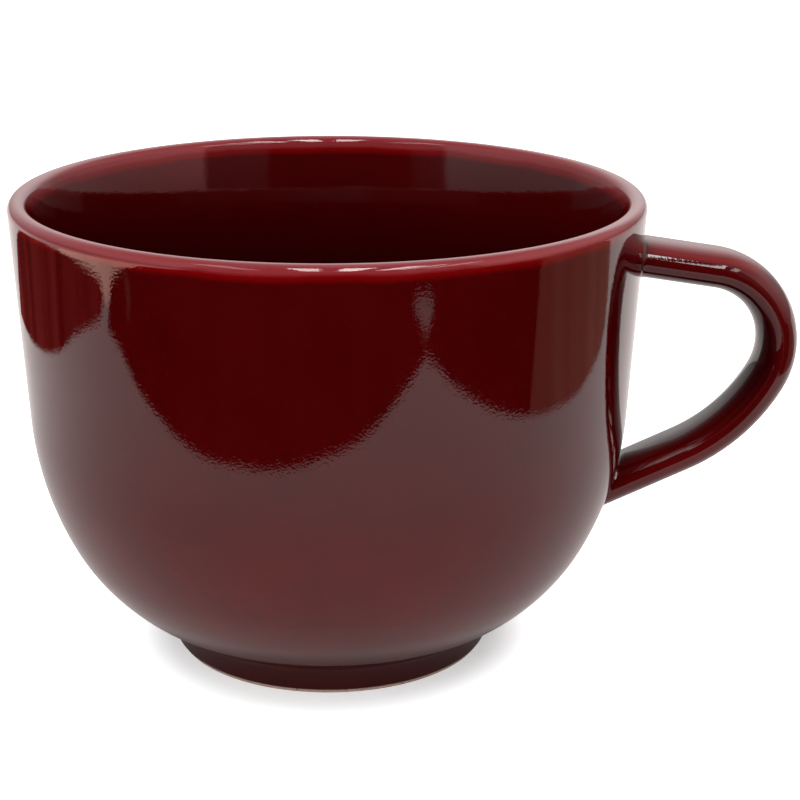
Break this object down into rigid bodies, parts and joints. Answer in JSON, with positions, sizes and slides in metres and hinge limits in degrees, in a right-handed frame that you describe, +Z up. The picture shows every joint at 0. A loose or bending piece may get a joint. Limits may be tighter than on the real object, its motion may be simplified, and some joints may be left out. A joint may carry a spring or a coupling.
{
  "type": "soup mug",
  "caption": "Wide glazed stoneware soup mug with a round belly, a turned foot ring and a strap handle.",
  "frame": {"origin": "on the bowl's axis, on the table that the foot ring stands on", "axes": "+Z up along the bowl's axis, +X out through the middle of the handle"},
  "size_m": [0.1508, 0.12, 0.09],
  "materials": {
    "oxblood_glaze": "gloss",
    "rim_glaze": "gloss",
    "stoneware": "matte"
  },
  "bodies": {
    "root": {"bowl": "stoneware", "foot_ring": "stoneware", "handle": "stoneware", "upper_slip": "stoneware", "lower_slip": "stoneware", "outside_glaze": "oxblood_glaze", "inside_glaze": "oxblood_glaze", "rim_glaze": "rim_glaze", "foot_glaze": "oxblood_glaze", "base_glaze": "oxblood_glaze", "handle_glaze": "oxblood_glaze", "upper_root_glaze": "oxblood_glaze", "lower_root_glaze": "oxblood_glaze"}
  },
  "joints": []
}
